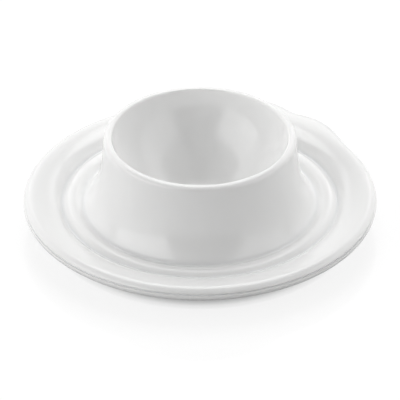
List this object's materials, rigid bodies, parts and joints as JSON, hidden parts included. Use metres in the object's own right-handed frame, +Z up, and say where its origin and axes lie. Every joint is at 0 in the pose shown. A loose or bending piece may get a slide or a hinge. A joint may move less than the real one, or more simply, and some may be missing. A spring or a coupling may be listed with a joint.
{
  "type": "egg cup",
  "caption": "Low egg cup fixed to a round saucer, with a flared wall, a round-bottomed bowl, a bead ring, a rolled rim, a foot ring and a soft thumb tab.",
  "frame": {"origin": "on the axis of the cup, in the plane of the foot ring's resting face", "axes": "+Z up along the cup's axis, +Y from the axis towards the thumb tab, +X to the right seen from the side that faces away from the tab"},
  "size_m": [0.1, 0.1057, 0.0295],
  "materials": {
    "glaze": "clear gloss glaze over white porcelain",
    "bisque": "bare fired porcelain, ground smooth where it rests"
  },
  "bodies": {
    "root": {"saucer": "glaze", "foot_ring": "bisque", "cup_wall": "glaze", "egg_bowl": "glaze", "thumb_tab": "glaze"}
  },
  "joints": []
}
